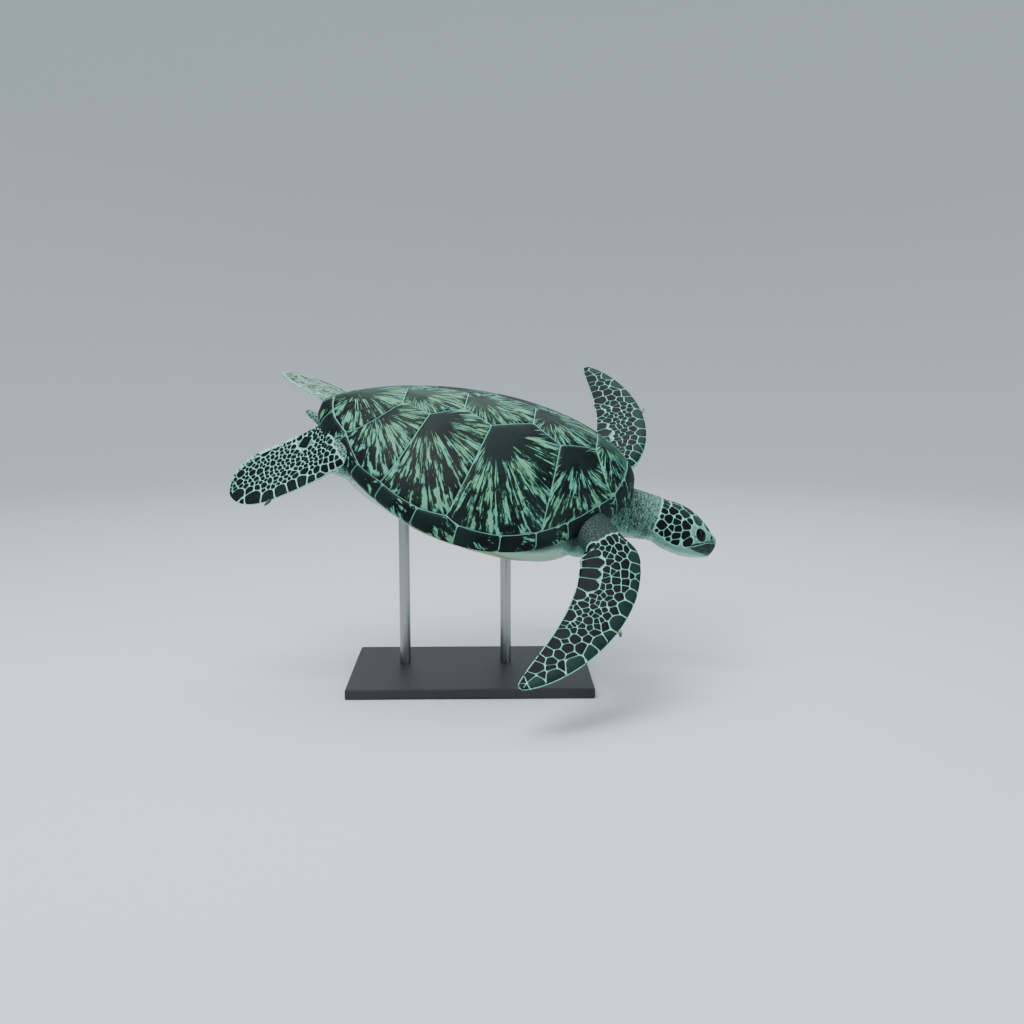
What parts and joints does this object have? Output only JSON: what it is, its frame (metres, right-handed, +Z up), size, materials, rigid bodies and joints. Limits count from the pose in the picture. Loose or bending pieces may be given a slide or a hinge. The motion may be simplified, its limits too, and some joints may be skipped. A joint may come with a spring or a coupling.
{
  "type": "green sea turtle model on a stand",
  "caption": "Still life-size model of a green sea turtle, swimming nose down and banked to its right, on a flat base with short rods.",
  "frame": {"origin": "middle of the base's flat underside", "axes": "+X the way the turtle faces, +Y to its left, +Z up"},
  "size_m": [1.2076, 1.0825, 0.7732],
  "materials": {
    "shell": "smooth horn, sage streaks raying over near black green",
    "plastron": "pale smooth horn",
    "skin": "matte reptile skin with dark flat scales and pale borders",
    "eye": "wet, glossy, nearly black",
    "horn": "satin horn",
    "stand_base": "painted dark grey, satin",
    "stand_rod": "brushed"
  },
  "bodies": {
    "root": {"carapace": "shell", "plastron": "plastron", "trunk": "skin", "neck": "skin", "head": "skin", "jaw_lower": "skin", "tail": "skin", "flipper_front_left": "skin", "flipper_front_right": "skin", "flipper_rear_left": "skin", "flipper_rear_right": "skin", "eye_left": "eye", "eye_right": "eye", "claw_front_left": "horn", "claw_front_right": "horn", "claw_rear_left": "horn", "claw_rear_right": "horn", "stand_base": "stand_base", "stand_rod_front": "stand_rod", "stand_rod_rear": "stand_rod"}
  },
  "joints": []
}
